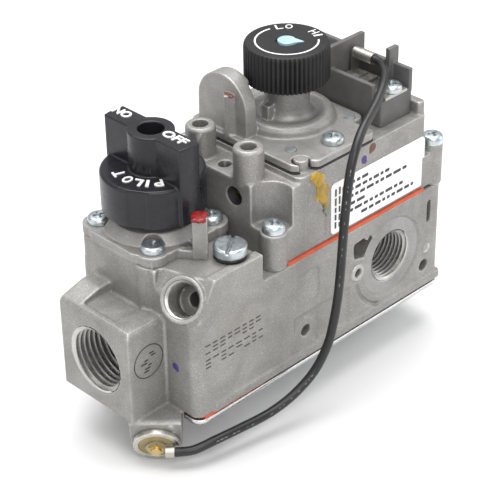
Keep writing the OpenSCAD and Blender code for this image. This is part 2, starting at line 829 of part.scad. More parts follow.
module plunger_spring() {
    color("#9aa0a4") translate([coil[0], coil[1], 55]) coil_spring(2.2, 0.35, 5, 5);
}

module terminal_block() {
    x0 = 96.5;
    x1 = 110.8;
    y0 = 5;
    y1 = 45;
    base = 70.4;
    color("#4c4c50") difference() {
        union() {
            block([x0, y0], [x1, y1], 0.6, head_z, base);
            // Spigot that closes the coil's bore
            rod(coil, 6.8, 60, head_z + 1);
            // Long walls
            translate([x0, y0 + 3.4, base - 1]) cube([1.6, y1 - y0 - 3.4, 5.6]);
            translate([x1 - 1.5, y0, base - 1]) cube([1.5, y1 - y0, 7.9]);
            // Partitions between the terminals
            translate([107.6, 11.6, base - 0.6]) cube([4.2, 1.6, 12.4]);
            translate([x0, 25.4, base - 0.6]) cube([15.3, 1.6, 12.4]);
        }
        for (y = screw_y) rod([terminal_x, y], hole_r, head_z - 1, base + 1);
    }
}

module terminal_plates() {
    color("#c2a14d") for (y = terminal_y) difference() {
        translate([98.6, y - 3, 70.4]) cube([9.8, 6.2, 0.9]);
        if (y != terminal_y[1]) rod([terminal_x, y], hole_r, 70, 72);
    }
}

module terminal_screws() {
    color("#c4ccd0") for (y = screw_y) translate([terminal_x, y, 71.3]) pan_screw(8.4);
}

module head_screws() {
    color("#c4ccd0") {
        translate([lug_c[0], lug_c[1], lug_top]) pan_screw(20, head_r, 2.9);
        for (y = [post_c[1], back_y]) translate([post_c[0], y, post_top]) pan_screw(22);
        translate([sunk_c[0], sunk_c[1], sunk_z]) pan_screw(12);
    }
}

at_inlet() lower_body();
at_inlet() upper_casting();
at_inlet() body_gasket();
at_inlet() main_diaphragm();
at_inlet() bottom_cover();
at_inlet() bottom_gasket();
at_inlet() bottom_cover_screws();
at_inlet() gas_cock_cover();
at_inlet() cock_cover_screws();
at_inlet() cock_plug();
at_inlet() cock_stem();
at_inlet() cock_spring();
at_inlet() gas_cock_knob();
at_inlet() knob_screw();
at_inlet() inlet_screen();
at_inlet() magnet_unit();
at_inlet() magnet_nut();
at_inlet() fibre_washer();
at_inlet() contact_stud();
at_inlet() safety_valve_disc();
at_inlet() safety_valve_spring();
at_inlet() lower_ring_terminal();
at_inlet() jumper_wire();
at_inlet() upper_ring_terminal();
at_inlet() slotted_plug();
at_inlet() plug_o_ring();
at_inlet() pilot_needle();
at_inlet() regulator_bonnet();
at_inlet() bonnet_gasket();
at_inlet() bonnet_screws();
at_inlet() bonnet_dowels();
at_inlet() pressure_dial();
at_inlet() dial_pointer();
at_inlet() regulator_screw();
at_inlet() spring_seat();
at_inlet() regulator_spring();
at_inlet() regulator_diaphragm();
at_inlet() diaphragm_plate();
at_inlet() main_valve();
at_inlet() main_valve_spring();
at_inlet() solenoid_coil();
at_inlet() solenoid_plunger();
at_inlet() plunger_spring();
at_inlet() terminal_block();
at_inlet() terminal_plates();
at_inlet() terminal_screws();
at_inlet() head_screws();
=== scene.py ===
# Looks of the combination gas valve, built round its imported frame.
# Sizes in the helpers are millimetres laid out from the corner of the lower
# casting, and at() turns them into metres in the frame.
import json
import math
import random

import bmesh
import bpy
from mathutils import Matrix, Vector


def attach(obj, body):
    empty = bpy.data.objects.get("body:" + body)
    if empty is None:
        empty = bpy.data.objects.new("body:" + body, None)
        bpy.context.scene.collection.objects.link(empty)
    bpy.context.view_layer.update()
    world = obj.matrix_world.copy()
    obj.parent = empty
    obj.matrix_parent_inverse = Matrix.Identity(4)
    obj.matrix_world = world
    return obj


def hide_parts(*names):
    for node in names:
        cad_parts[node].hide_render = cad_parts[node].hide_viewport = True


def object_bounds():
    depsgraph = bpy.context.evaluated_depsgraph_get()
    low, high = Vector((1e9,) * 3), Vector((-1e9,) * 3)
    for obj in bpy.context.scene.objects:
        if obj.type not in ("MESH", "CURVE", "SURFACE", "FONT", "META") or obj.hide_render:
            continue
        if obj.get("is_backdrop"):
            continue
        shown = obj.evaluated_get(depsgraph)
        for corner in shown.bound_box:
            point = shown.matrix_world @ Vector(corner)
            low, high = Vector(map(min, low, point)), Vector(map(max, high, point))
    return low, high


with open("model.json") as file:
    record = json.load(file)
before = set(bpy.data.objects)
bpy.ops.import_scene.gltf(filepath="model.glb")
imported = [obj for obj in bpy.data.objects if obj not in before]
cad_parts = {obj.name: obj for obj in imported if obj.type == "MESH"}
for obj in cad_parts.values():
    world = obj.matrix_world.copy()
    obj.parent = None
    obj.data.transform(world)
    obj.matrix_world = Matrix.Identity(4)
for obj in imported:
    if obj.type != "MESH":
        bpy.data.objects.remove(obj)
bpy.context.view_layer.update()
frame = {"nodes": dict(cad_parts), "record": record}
NODES = frame["nodes"]
SCENE = bpy.context.scene
ORIGIN = Vector((0.0, 28.0, 15.2))
MM = 0.001
ROOT = "valve_body"

# Axes, faces and heights of the design in millimetres: COCK and REG are the
# knob's and the dial's upright axes, INLET and OUTLET the mouths' centres
COCK = (30, 33.2)
REG = (79, 27)
INLET = (0.02, 28, 15.2)
OUTLET = (98, 0.72, 18.2)
SIDE_Y = 0
LABEL_Y = 0.80
INK_Y = (0.755, 0.81)
BOSS_Y = 12.99
KNOB_FACE_Z = 77.72
SKIRT_FACE_Z = 65.32
DIAL_BASE_Z = 78.2
DIAL_TOP_Z = 90.0
DIAL_R = 12.9
PAINT_Z = 89.92


def at(x, y, z):
    return (Vector((x, y, z)) - ORIGIN) * MM


# ------------------------------------------------------------------ camera
# Azimuth, elevation and roll in degrees; right, up and back in millimetres
VIEW = (-44.594, 32.225, -0.847)
STAND = (25.26, 55.54, 502.54)
LENS = 127.02
SENSOR = 36.0
SHIFT = (-0.0031, -0.0036)


def view_axes(azimuth, elevation, roll):
    a, e, r = (math.radians(v) for v in (azimuth, elevation, roll))
    back = Vector((math.sin(a) * math.cos(e), -math.cos(a) * math.cos(e), math.sin(e)))
    right = Vector((0, 0, 1)).cross(back).normalized()
    up = back.cross(right)
    turned_right = right * math.cos(r) + up * math.sin(r)
    turned_up = -right * math.sin(r) + up * math.cos(r)
    return turned_right, turned_up, back


def make_camera():
    right, up, back = view_axes(*VIEW)
    spot = right * STAND[0] + up * STAND[1] + back * STAND[2]
    data = bpy.data.cameras.new("camera")
    data.lens = LENS
    data.sensor_width = SENSOR
    data.shift_x, data.shift_y = SHIFT
    data.clip_start = 0.01
    camera = bpy.data.objects.new("camera", data)
    turn = Matrix((right, up, back)).transposed()
    camera.matrix_world = Matrix.Translation(at(*spot)) @ turn.to_4x4()
    SCENE.collection.objects.link(camera)
    SCENE.camera = camera


make_camera()


# ------------------------------------------------------------------ shaders
class Shader:
    """A small wrapper round one node material."""

    def __init__(self, name):
        self.mat = bpy.data.materials.new(name)
        self.mat.use_nodes = True
        self.tree = self.mat.node_tree
        self.bsdf = self.tree.nodes["Principled BSDF"]
        self.coords = self.tree.nodes.new("ShaderNodeTexCoord").outputs["Object"]
        self.height = None

    def put(self, socket, value):
        if isinstance(value, bpy.types.NodeSocket):
            self.tree.links.new(value, socket)
        elif isinstance(value, (tuple, list)) and len(value) == 3 and socket.type == "RGBA":
            socket.default_value = (*value, 1.0)
        else:
            socket.default_value = value

    def node(self, kind, values=(), out=0, **props):
        n = self.tree.nodes.new("ShaderNode" + kind)
        for key, value in props.items():
            setattr(n, key, value)
        for key, value in dict(values).items():
            self.put(n.inputs[key], value)
        return n.outputs[out]

    def noise(self, scale, detail=3.0, rough=0.55, distortion=0.0, coords=None):
        return self.node("TexNoise", {
            "Vector": coords or self.coords, "Scale": scale, "Detail": detail,
            "Roughness": rough, "Distortion": distortion})

    def stretched(self, x, y, z):
        return self.node("Mapping", {"Vector": self.coords, "Scale": (x, y, z)})

    def ramp(self, fac, low, high, a=0.0, b=1.0):
        return self.node("MapRange", {
            "Value": fac, "From Min": low, "From Max": high, "To Min": a, "To Max": b})

    def math(self, op, a, b):
        return self.node("Math", {0: a, 1: b}, operation=op)

    def mix(self, fac, a, b):
        return self.node("Mix", {0: fac, 6: a, 7: b}, out=2, data_type="RGBA")

    def bump(self, height, distance, strength=1.0):
        values = {"Height": height, "Distance": distance, "Strength": strength}
        if self.height is not None:
            values["Normal"] = self.height
        self.height = self.node("Bump", values)

    def finish(self, color, rough, metallic=0.0, **more):
        self.put(self.bsdf.inputs["Base Color"], color)
        self.put(self.bsdf.inputs["Roughness"], rough)
        self.put(self.bsdf.inputs["Metallic"], metallic)
        for key, value in more.items():
            self.put(self.bsdf.inputs[key.replace("_", " ")], value)
        if self.height is not None:
            self.put(self.bsdf.inputs["Normal"], self.height)
        return self.mat

    def edges(self, low, high):
        point = self.node("NewGeometry", out="Pointiness")
        return self.ramp(point, low, high)


def cast_metal(name, light, dark, rough=0.46, grain=1.0, stains=0.35, tint=(0.30, 0.26, 0.22)):
    s = Shader(name)
    cloud = s.ramp(s.noise(95, 5, 0.6, 0.4), 0.34, 0.68)
    body = s.mix(cloud, dark, light)
    speck = s.ramp(s.noise(2600, 2, 0.7), 0.36, 0.66)
    pits = s.math("MULTIPLY", s.math("SUBTRACT", 1.0, speck), 0.42 * grain)
    body = s.mix(pits, body, [c * 0.4 for c in dark])
    flecks = s.ramp(s.noise(1500, 2, 0.6, 0.3), 0.58, 0.70)
    body = s.mix(s.math("MULTIPLY", flecks, 0.22 * grain), body, (0.66, 0.65, 0.63))
    stain = s.ramp(s.noise(42, 4, 0.62, 1.2), 0.56, 0.74)
    body = s.mix(s.math("MULTIPLY", stain, stains), body, tint)
    wear = s.edges(0.515, 0.60)
    body = s.mix(s.math("MULTIPLY", wear, 0.7), body, (0.70, 0.69, 0.67))
    # Painted shade: concave creases darkened towards near black, where shadow falls
    hollow = s.edges(0.485, 0.40)
    body = s.mix(s.math("MULTIPLY", hollow, 0.55), body, (0.13, 0.12, 0.11))
    s.bump(s.noise(900, 3, 0.6), 0.00009 * grain, 0.8)
    s.bump(s.noise(3000, 2, 0.6), 0.00004 * grain, 0.9)
    s.bump(s.noise(120, 3, 0.5), 0.00012, 0.5)
    shine = s.ramp(s.noise(300, 3, 0.6), 0.3, 0.7, rough - 0.08, rough + 0.08)
    shine = s.math("SUBTRACT", shine, s.math("MULTIPLY", wear, 0.12))
    return s.finish(body, shine, 0.45)


def machined(name, color, rough=0.28, metallic=1.0, scratch=0.5):
    s = Shader(name)
    streak = s.noise(700, 3, 0.6, coords=s.stretched(1, 1, 5))
    body = s.mix(s.ramp(streak, 0.3, 0.7), [c * 0.72 for c in color], color)
    blotch = s.ramp(s.noise(230, 3, 0.5), 0.5, 0.75)
    body = s.mix(s.math("MULTIPLY", blotch, 0.3), body, [c * 0.5 for c in color])
    wear = s.edges(0.52, 0.62)
    body = s.mix(s.math("MULTIPLY", wear, 0.4), body, [min(1, c * 1.35) for c in color])
    s.bump(streak, 0.00002, scratch)
    return s.finish(body, s.ramp(streak, 0.2, 0.8, rough - 0.07, rough + 0.12), metallic)


def plastic(name, color, rough, bump=0.4, spec=0.5, dust=0.12):
    s = Shader(name)
    cloud = s.ramp(s.noise(140, 4, 0.6), 0.35, 0.7)
    body = s.mix(cloud, color, [min(1, c * 1.35 + 0.004) for c in color])
    motes = s.ramp(s.noise(1900, 2, 0.7, 0.5), 0.70, 0.78)
    body = s.mix(s.math("MULTIPLY", motes, dust), body, (0.55, 0.54, 0.52))
    wear = s.edges(0.53, 0.66)
    body = s.mix(s.math("MULTIPLY", wear, 0.25), body, [min(1, c * 2.2 + 0.03) for c in color])
    s.bump(s.noise(2200, 2, 0.6), 0.00002, bump)
    s.bump(s.noise(260, 3, 0.5), 0.00004, bump * 0.5)
    shine = s.ramp(s.noise(420, 3, 0.6), 0.3, 0.75, rough - 0.05, rough + 0.09)
    return s.finish(body, shine, 0.0, Specular_IOR_Level=spec)


def coated(name, color, rough=0.5, spread=0.25, bump=0.5, scale=500):
    s = Shader(name)
    cloud = s.ramp(s.noise(scale * 0.3, 4, 0.6), 0.3, 0.7)
    body = s.mix(cloud, [c * (1 - spread) for c in color], [min(1, c * (1 + spread)) for c in color])
    s.bump(s.noise(scale * 3, 3, 0.6), 0.00004, bump)
    return s.finish(body, s.ramp(s.noise(scale, 3, 0.6), 0.3, 0.7, rough - 0.08, rough + 0.08))


MATS = {
    "cast_alloy": cast_metal("cast_alloy", (0.37, 0.36, 0.342), (0.27, 0.262, 0.25)),
    "head_alloy": cast_metal("head_alloy", (0.37, 0.358, 0.342), (0.275, 0.263, 0.252), stains=0.2),
    "bonnet_alloy": cast_metal("bonnet_alloy", (0.38, 0.368, 0.352), (0.28, 0.27, 0.26), 0.42, 0.8, 0.2),
    "cover_plate": machined("cover_plate", (0.70, 0.71, 0.71), 0.26),
    "gasket_red": coated("gasket_red", (0.60, 0.095, 0.04), 0.7, 0.2, 0.9, 900),
    "gasket_dark": coated("gasket_dark", (0.035, 0.034, 0.033), 0.75, 0.3, 0.8),
    "diaphragm": coated("diaphragm", (0.03, 0.03, 0.03), 0.6),
    "zinc_screw": machined("zinc_screw", (0.62, 0.68, 0.71), 0.33),
    "brass": machined("brass", (0.72, 0.55, 0.25), 0.3),
    "spring_wire": machined("spring_wire", (0.55, 0.57, 0.58), 0.28),
    "knob_black": plastic("knob_black", (0.010, 0.010, 0.013), 0.28, 0.25, 0.36),
    "knob_screw": machined("knob_screw", (0.06, 0.06, 0.065), 0.35, 0.6),
    "screen": machined("screen", (0.4, 0.42, 0.43), 0.4),
    "magnet_can": machined("magnet_can", (0.60, 0.57, 0.48), 0.35),
    "magnet_nut": machined("magnet_nut", (0.70, 0.68, 0.62), 0.3),
    "fibre": coated("fibre", (0.30, 0.23, 0.10), 0.6, 0.4, 0.8),
    "valve_rubber": coated("valve_rubber", (0.03, 0.03, 0.03), 0.55),
    "terminal_tin": machined("terminal_tin", (0.47, 0.46, 0.42), 0.4),
    "wire_black": plastic("wire_black", (0.008, 0.008, 0.009), 0.36, 0.6, 0.5, 0.25),
    "o_ring": coated("o_ring", (0.012, 0.012, 0.012), 0.35),
    "dial_black": plastic("dial_black", (0.010, 0.010, 0.011), 0.48, 0.8, 0.3, 0.15),
    "dial_insert": plastic("dial_insert", (0.30, 0.45, 0.58), 0.3, 0.4, 0.5, 0.1),
    "coil": coated("coil", (0.28, 0.09, 0.05), 0.5),
    "plunger": machined("plunger", (0.62, 0.64, 0.65), 0.25),
    "block_grey": plastic("block_grey", (0.085, 0.083, 0.082), 0.42, 0.9, 0.5, 0.35),
    "thread": machined("thread", (0.56, 0.55, 0.53), 0.38, 1.0, 0.8),
    "turned_face": machined("turned_face", (0.42, 0.41, 0.40), 0.4, 0.85, 0.6),
    "white_paint": coated("white_paint", (0.80, 0.80, 0.79), 0.45, 0.06, 0.4),
    "label_paper": coated("label_paper", (0.86, 0.86, 0.85), 0.42, 0.03, 0.25, 700),
    # Pale grey for the dashes on the lead
    "wire_dash_grey": coated("wire_dash_grey", (0.15, 0.15, 0.15), 0.6, 0.5, 0.5, 1500),
    # Near black for the painted shadow inside the pilot needle's bore
    "bore_shadow_black": coated("bore_shadow_black", (0.01, 0.01, 0.01), 0.6),
    "ink": coated("ink", (0.035, 0.035, 0.04), 0.5, 0.5, 0.3, 1500),
    "purple_ink": coated("purple_ink", (0.06, 0.03, 0.20), 0.4, 0.35, 0.3, 900),
    "brown_ink": coated("brown_ink", (0.13, 0.05, 0.03), 0.5, 0.35, 0.3, 900),
    "yellow_paint": coated("yellow_paint", (0.33, 0.205, 0.012), 0.28, 0.6, 1.0, 900),
    "green_paint": coated("green_paint", (0.20, 0.23, 0.16), 0.4, 0.3, 0.8, 500),
    "red_paint": coated("red_paint", (0.22, 0.010, 0.010), 0.35, 0.6, 0.9, 2200),
}


# ------------------------------------------------------------------ meshes
def give(obj, slot):
    obj.data.materials.clear()
    obj.data.materials.append(MATS[slot])


def place(obj, body, slot, stands_for=None):
    """Links a new piece, gives it its material and its body."""
    if obj.name not in SCENE.collection.objects:
        SCENE.collection.objects.link(obj)
    give(obj, slot)
    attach(obj, body)
    if stands_for:
        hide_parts(*([stands_for] if isinstance(stands_for, str) else stands_for))
    return obj


def from_bmesh(name, bm, smooth=True, angle=35):
    bmesh.ops.recalc_face_normals(bm, faces=bm.faces)
    me = bpy.data.meshes.new(name)
    bm.to_mesh(me)
    bm.free()
    for p in me.polygons:
        p.use_smooth = smooth
    if smooth:
        me.set_sharp_from_angle(angle=math.radians(angle))
    return bpy.data.objects.new(name, me)


def baked(obj, name):
    """The object with its modifiers applied, as a new object."""
    if obj.name not in SCENE.collection.objects:
        SCENE.collection.objects.link(obj)
    bpy.context.view_layer.update()
    graph = bpy.context.evaluated_depsgraph_get()
    me = bpy.data.meshes.new_from_object(obj.evaluated_get(graph))
    bpy.data.objects.remove(obj)
    me.name = name
    return bpy.data.objects.new(name, me)


def soften(obj, name, voxel, smooth=3, keep=0.3):
    """Rounds every edge as a casting's are: remeshed, smoothed and thinned."""
    mod = obj.modifiers.new("weld", "WELD")
    mod.merge_threshold = 1e-6
    mod = obj.modifiers.new("voxels", "REMESH")
    mod.mode = "VOXEL"
    mod.voxel_size = voxel * MM
    mod.use_smooth_shade = True
    mod = obj.modifiers.new("smooth", "SMOOTH")
    mod.factor = 0.5
    mod.iterations = smooth
    mod = obj.modifiers.new("thin", "DECIMATE")
    mod.ratio = keep
    mod = obj.modifiers.new("normals", "WEIGHTED_NORMAL")
    mod.keep_sharp = False
    return baked(obj, name)


def copy_of(node):
    me = NODES[node].data.copy()
    return bpy.data.objects.new(node + "_copy", me)


def cast_piece(node, voxel, smooth=3, keep=0.3, body=ROOT):
    slot = next(s["material_slot"] for s in frame["record"]["subparts"] if s["node"] == node)
    piece = soften(copy_of(node), node + "_cast", voxel, smooth, keep)
    place(piece, body, slot, node)


def lathe(bm, profile, segments, centre, axis=(0, 0, 1)):
    """Turns (radius, height) points about an axis through centre, in mm."""
    turn = Vector((0, 0, 1)).rotation_difference(Vector(axis)).to_matrix()
    rings = []
    for r, h in profile:
        if r < 1e-6:
            rings.append([bm.verts.new(at(*(Vector(centre) + turn @ Vector((0, 0, h)))))])
            continue
        ring = []
        for k in range(segments):
            a = 2 * math.pi * k / segments
            p = Vector(centre) + turn @ Vector((r * math.cos(a), r * math.sin(a), h))
            ring.append(bm.verts.new(at(*p)))
        rings.append(ring)
    for lower, upper in zip(rings, rings[1:]):
        for k in range(segments):
            n = (k + 1) % segments
            corners = [lower[k % len(lower)], lower[n % len(lower)],
                       upper[n % len(upper)], upper[k % len(upper)]]
            unique = list(dict.fromkeys(corners))
            if len(unique) > 2:
                bm.faces.new(unique)


def thread_liner(name, mouth, axis, major, depth, pitch, length, seg=72):
    """Helical thread with a lead-in chamfer, closed to a thin sleeve."""
    outward = Vector(axis).normalized()
    turn = Vector((0, 0, 1)).rotation_difference(-outward).to_matrix()
    shape = [(0.0, 0.0), (0.10, 0.0), (0.48, 1.0), (0.60, 1.0)]
    outer = major - 0.03
    bm = bmesh.new()
    turns = int(length / pitch) + 3
    rows = []
    for i in range(turns * seg + 1):
        angle = 2 * math.pi * i / seg
        row = []
        for along, deep in shape:
            z = pitch * (i / seg - 1.5 + along)
            z = min(max(z, 0.0), length)
            r = outer - 0.05 - depth * deep - z / 32
            lead = max(0.0, 0.6 - z) * 1.1
            end = max(0.0, z - (length - 0.6)) * 3
            r = min(outer, r + max(lead, end))
            if z <= 0 or z >= length:
                r = outer
            p = Vector(mouth) + turn @ Vector((r * math.cos(angle), r * math.sin(angle), z))
            row.append(bm.verts.new(at(*p)))
        rows.append(row)
    for i in range(turns * seg):
        for j in range(len(shape) - 1):
            bm.faces.new((rows[i][j], rows[i + 1][j], rows[i + 1][j + 1], rows[i][j + 1]))
        if i + seg + 1 <= turns * seg:
            bm.faces.new((rows[i][-1], rows[i + 1][-1], rows[i + seg + 1][0], rows[i + seg][0]))
    bmesh.ops.remove_doubles(bm, verts=bm.verts, dist=2e-6)
    bmesh.ops.dissolve_degenerate(bm, dist=1e-6, edges=bm.edges)
    rim = [e for e in bm.edges if e.is_boundary]
    bmesh.ops.bridge_loops(bm, edges=rim)
    return from_bmesh(name, bm, True, 50)


def text_mesh(word, width, height, depth, bold):
    """Letters as a bmesh in millimetres, fitted to a box centred on 0."""
    curve = bpy.data.curves.new("letters", "FONT")
    curve.body = word
    curve.extrude = 0.05
    curve.offset = bold
    curve.resolution_u = 3
    obj = bpy.data.objects.new("letters", curve)
    SCENE.collection.objects.link(obj)
    bpy.context.view_layer.update()
    graph = bpy.context.evaluated_depsgraph_get()
    me = bpy.data.meshes.new_from_object(obj.evaluated_get(graph))
    bpy.data.objects.remove(obj)
    bm = bmesh.new()
    bm.from_mesh(me)
    bpy.data.meshes.remove(me)
    low = [min(v.co[i] for v in bm.verts) for i in range(3)]
    high = [max(v.co[i] for v in bm.verts) for i in range(3)]
    for v in bm.verts:
        v.co.x = (v.co.x - (low[0] + high[0]) / 2) * width / (high[0] - low[0])
        v.co.y = (v.co.y - (low[1] + high[1]) / 2) * height / (high[1] - low[1])
        v.co.z = (v.co.z - low[2]) / (high[2] - low[2]) * depth
    bmesh.ops.remove_doubles(bm, verts=bm.verts, dist=1e-4)
    return bm


def laid(bm_list, name):
    """Joins bmeshes that are already in frame metres."""
    whole = bmesh.new()
    for bm in bm_list:
        me = bpy.data.meshes.new("tmp")
        bm.to_mesh(me)
        bm.free()
        whole.from_mesh(me)
        bpy.data.meshes.remove(me)
    return from_bmesh(name, whole, False)


def letter_at(word, centre, right, up, width, height, depth, bold=0.018):
    bm = text_mesh(word, width, height, depth, bold)
    x = Vector(right).normalized()
    y = Vector(up).normalized()
    z = x.cross(y)
    turn = Matrix((x, y, z)).transposed()
    for v in bm.verts:
        v.co = at(*(Vector(centre) + turn @ v.co))
    return bm


def round_letters(word, centre, radius, angles, z, width, height, depth, bold=0.018):
    """Letters set round a centre, one per angle, their tops outward."""
    out = []
    for letter, angle in zip(word, angles):
        a = math.radians(angle)
        up = Vector((math.cos(a), math.sin(a), 0))
        right = Vector((up.y, -up.x, 0))
        w = width * (0.35 if letter == "I" else 1.0)
        spot = (centre[0] + radius * up.x, centre[1] + radius * up.y, z)
        out.append(letter_at(letter, spot, right, up, w, height, depth, bold))
    return out


def blob(name, spots, voxel, smooth):
    """Paint: flattened lumps (centre, radii) fused into one skin."""
    bm = bmesh.new()
    for centre, radii in spots:
        made = bmesh.ops.create_icosphere(bm, subdivisions=3, radius=1.0)
        for v in made["verts"]:
            v.co = at(*(Vector(centre) + Vector([v.co[i] * radii[i] for i in range(3)])))
    return soften(from_bmesh(name + "_lumps", bm), name, voxel, smooth, 0.6)


def rounded_plate(bm, x0, x1, z0, z1, r, y0, y1, steps=8):
    """Rounded rectangle in X and Z between two depths."""
    ring = []
    rounds = ((x1 - r, z1 - r, 0), (x0 + r, z1 - r, 90), (x0 + r, z0 + r, 180), (x1 - r, z0 + r, 270))
    for cx, cz, start in rounds:
        for k in range(steps + 1):
            a = math.radians(start + 90 * k / steps)
            ring.append((cx + r * math.cos(a), cz + r * math.sin(a)))
    front = [bm.verts.new(at(x, y0, z)) for x, z in ring]
    back = [bm.verts.new(at(x, y1, z)) for x, z in ring]
    n = len(ring)
    bm.faces.new(front)
    bm.faces.new(back[::-1])
    for k in range(n):
        bm.faces.new((front[k], back[k], back[(k + 1) % n], front[(k + 1) % n]))


# ------------------------------------------------------------------ wire
WIRE_ROUTE = [
    (8.2, 4.25, -10.3), (9.2, 3.25, -10.28), (12.6, 0.4, -9.8), (19, -1.8, -8.6),
    (27.6, -3.4, -8.2), (38, -5.2, -7.4), (46.6, -7, -4.2), (54.2, -8.2, 1),
    (59, -9, 8.4), (61.6, -9, 15.6), (63.6, -8.8, 24), (65, -8.4, 32),
    (66.8, -7.6, 43), (69.2, -6.6, 55), (71.4, -5.8, 62), (74.3, -4.8, 66.9),
    (79.6, -2.6, 70.6), (85.8, -0.2, 72.6), (91.5, 2, 74.4), (97, 4.8, 76.1),
    (101.6, 8, 77.1), (104, 10.8, 77.5), (105.7, 13.4, 77.7), (106.2, 15.4, 77.8),
    (106.2, 16.5, 77.8),
]
WIRE_D = 2.8


def smooth_route(points, steps):
    """Catmull-Rom curve through the points, in steps between each two."""
    p = [Vector(v) for v in points]
    out = []
    for i in range(len(p) - 1):
        a, b, c, d = p[max(i - 1, 0)], p[i], p[i + 1], p[min(i + 2, len(p) - 1)]
        for k in range(steps):
            t = k / steps
            out.append(0.5 * (2 * b + (c - a) * t + (2 * a - 5 * b + 4 * c - d) * t * t
                              + (3 * b - a - 3 * c + d) * t ** 3))
    return out + [p[-1]]


def make_wire():
    points = [at(*p) for p in smooth_route(WIRE_ROUTE, 4)]
    data = bpy.data.curves.new("jumper_lead", "CURVE")
    data.dimensions = "3D"
    data.bevel_depth = WIRE_D * MM / 2
    data.bevel_resolution = 5
    data.use_fill_caps = True
    line = data.splines.new("POLY")
    line.points.add(len(points) - 1)
    for spot, p in zip(line.points, points):
        spot.co = (*p, 1)
    line.use_smooth = True
    wire = place(bpy.data.objects.new("jumper_lead", data), ROOT, "wire_black", "jumper_wire")


make_wire()


def pale_wire_dashes():
    """Generic pale dashes on the lead, on its outer side."""
    rng = random.Random(5)
    route = smooth_route(WIRE_ROUTE, 12)
    bm = bmesh.new()
    for i in list(range(36, 84, 2)) + list(range(126, 170, 2)):
        if rng.random() < 0.35:
            continue
        centre = route[i]
        along = (route[i + 1] - route[i - 1]).normalized()
        out = Vector((-1, -0.9, 0.3))
        out = (out - along * out.dot(along)).normalized()
        across = along.cross(out)
        half = rng.uniform(0.2, 0.5)
        corners = []
        for deep in (WIRE_D / 2 - 0.04, WIRE_D / 2 + 0.02):
            for a, c in ((-half, -0.16), (half, -0.16), (half, 0.16), (-half, 0.16)):
                corners.append(bm.verts.new(at(*(centre + along * a + across * c + out * deep))))
        for f in ((0, 1, 2, 3), (4, 5, 6, 7), (0, 1, 5, 4), (1, 2, 6, 5), (2, 3, 7, 6), (3, 0, 4, 7)):
            bm.faces.new([corners[k] for k in f])
    place(from_bmesh("pale_wire_dashes", bm, False), ROOT, "wire_dash_grey")


pale_wire_dashes()

# ------------------------------------------------------------------ castings
cast_piece("lower_body", 0.42, 3, 0.32)
cast_piece("upper_casting", 0.40, 3, 0.34)
cast_piece("gas_cock_cover", 0.30, 3, 0.34)
cast_piece("regulator_bonnet", 0.32, 4, 0.34)
cast_piece("gas_cock_knob", 0.26, 4, 0.34, "knob")
cast_piece("terminal_block", 0.26, 2, 0.34)
cast_piece("magnet_nut", 0.2, 2, 0.5)
cast_piece("slotted_plug", 0.22, 2, 0.4)
cast_piece("bottom_cover", 0.3, 2, 0.4)

# ------------------------------------------------------------------ threads
place(thread_liner("inlet_thread", INLET, (-1, 0, 0),
                   major=10.67, depth=1.15, pitch=1.814, length=12.5), ROOT, "thread")
place(thread_liner("outlet_thread", OUTLET, (0, -1, 0),
                   major=8.575, depth=0.9, pitch=1.411, length=12.5), ROOT, "thread")


def direction(az, el):
    """Unit vector at an azimuth from X and an elevation, in degrees."""
    a, e = math.radians(az), math.radians(el)
    return Vector((math.cos(a) * math.cos(e), math.sin(a) * math.cos(e), math.sin(e)))


PILOT_AXIS = direction(197, 30)
PILOT_MOUTH = Vector((16.4, 7.1, 37.9)) + PILOT_AXIS * 0.85
place(thread_liner("pilot_thread", PILOT_MOUTH, PILOT_AXIS,
                   major=5.555, depth=0.72, pitch=1.7, length=8.8, seg=56), ROOT, "thread")


def outlet_face():
    """Turned face round the outlet, with its fine concentric grooves."""
    bm = bmesh.new()
    profile = [(13.3, 0.0), (13.3, 0.08)]
    r = 13.1
    while r > 9.1:
        profile += [(r, 0.14), (r - 0.16, 0.07)]
        r -= 0.32
    profile += [(8.95, 0.14), (8.75, 0.0), (13.3, 0.0)]
    lathe(bm, profile, 96, OUTLET, (0, -1, 0))
    bmesh.ops.remove_doubles(bm, verts=bm.verts, dist=1e-6)
    place(from_bmesh("outlet_face", bm, True, 20), ROOT, "turned_face")


def boss_ring():
    """Raised ring round the small hole beside the outlet, and a small dome."""
    bm = bmesh.new()
    ring = [(2.9, -0.1), (2.7, 0.5), (2.4, 0.75), (1.75, 0.75), (1.52, 0.5), (1.5, -0.1), (2.9, -0.1)]
    lathe(bm, ring, 48, (81.8, SIDE_Y, 19.6), (0, -1, 0))
    dome = [(1.75, -0.1), (1.4, 0.35), (0.8, 0.62), (0, 0.68)]
    lathe(bm, dome, 36, (114.8, SIDE_Y, 13.6), (0, -1, 0))
    bmesh.ops.remove_doubles(bm, verts=bm.verts, dist=1e-6)
    place(from_bmesh("boss_ring", bm, True, 50), ROOT, "cast_alloy")


def stamp_ring():
    """Round ink stamp on the inlet boss, left as a plain ring and dashes."""
    bm = bmesh.new()
    ring = [(5.6, 0.0), (5.6, 0.05), (5.25, 0.05), (5.25, 0.0), (5.6, 0.0)]
    cx, cz = 7.4, 18.4
    lathe(bm, ring, 72, (cx, BOSS_Y, cz), (0, -1, 0))
    bmesh.ops.remove_doubles(bm, verts=bm.verts, dist=1e-6)
    rng = random.Random(3)
    for k in range(7):
        x = cx + rng.uniform(-1.8, 1.8)
        z = 15.2 + 0.95 * k
        half = rng.uniform(0.6, 1.3)
        rounded_plate(bm, x - half, x + half, z - 0.25, z + 0.25, 0.2, 12.94, 13.02, 2)
    place(from_bmesh("stamp_ring", bm, False), ROOT, "ink")


outlet_face()
boss_ring()
stamp_ring()


